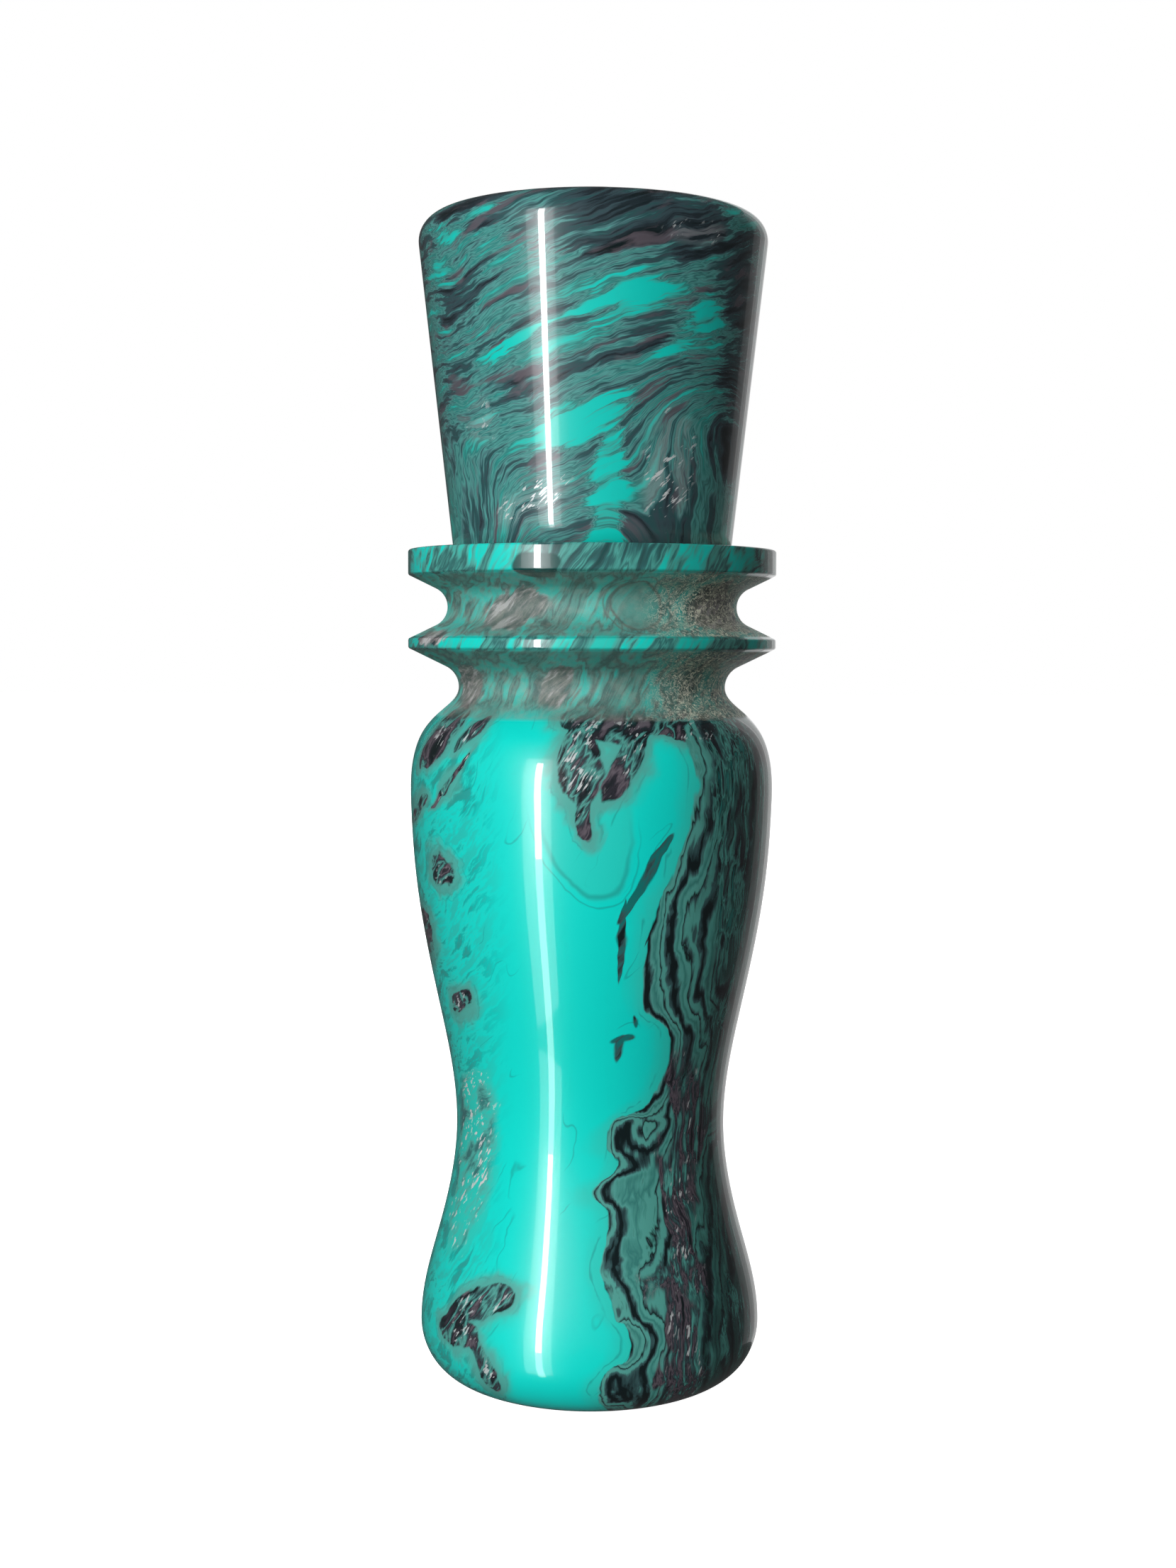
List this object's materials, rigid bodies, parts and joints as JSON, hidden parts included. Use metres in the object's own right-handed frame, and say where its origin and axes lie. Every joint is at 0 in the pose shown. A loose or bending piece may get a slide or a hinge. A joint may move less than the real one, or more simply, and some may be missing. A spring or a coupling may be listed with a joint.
{
  "type": "duck call",
  "caption": "Turned swirl-resin duck call: a barrel with a shaped mouthpiece end, and a pull-out stopper carrying a double-reed tone board, its cork wedge and O-ring seals.",
  "frame": {"origin": "centre of the mouthpiece face, which is the bottom of the bounding box", "axes": "+Z along the call's axis, from the mouthpiece towards the bell; the tone board's flat side and its reeds face -Y; X runs across the reeds"},
  "size_m": [0.037, 0.037, 0.117],
  "materials": {
    "barrel_resin": "swirled turquoise and charcoal casting resin, buffed to a high gloss, satin inside the lanyard grooves",
    "stopper_resin": "the same swirled resin, mostly charcoal and slate, buffed to a high gloss",
    "tone_board_plastic": "smoke grey moulded polycarbonate",
    "reed_film": "matte polyester film",
    "cork": "composition cork, unsealed",
    "o_ring_rubber": "black nitrile rubber"
  },
  "bodies": {
    "barrel": {"barrel": "barrel_resin"},
    "seal_rings": {"front_o_ring": "o_ring_rubber", "rear_o_ring": "o_ring_rubber"},
    "stopper": {"stopper": "stopper_resin", "tone_board": "tone_board_plastic", "long_reed_root": "reed_film", "short_reed_root": "reed_film"},
    "wedge": {"cork_wedge": "cork"},
    "long_reed": {"long_reed_tongue": "reed_film"},
    "short_reed": {"short_reed_tongue": "reed_film"}
  },
  "joints": [
    {"name": "stopper_slide", "type": "slide", "parent": "barrel", "child": "seal_rings", "axis": [0, 0, 1], "range_m": [0, 0.065]},
    {"name": "stopper_twist", "type": "hinge", "parent": "seal_rings", "child": "stopper", "pos_m": [0, 0, 0.0785], "axis": [0, 0, 1], "continuous": true},
    {"name": "wedge_slide", "type": "slide", "parent": "stopper", "child": "wedge", "axis": [0, 0, -1], "range_m": [0, 0.0092]},
    {"name": "long_reed_flex", "type": "hinge", "parent": "stopper", "child": "long_reed", "pos_m": [0, -0.00081, 0.052], "axis": [-1, 0, 0], "range_deg": [-1.8, 1.8], "stiffness_Nm_per_rad": 0.006},
    {"name": "short_reed_flex", "type": "hinge", "parent": "stopper", "child": "short_reed", "pos_m": [0, -0.00111, 0.052], "axis": [-1, 0, 0], "range_deg": [-1.8, 1.8], "stiffness_Nm_per_rad": 0.006}
  ],
  "couplings": [
    {"joint": "short_reed_flex", "follows": "long_reed_flex", "ratio": 1}
  ]
}
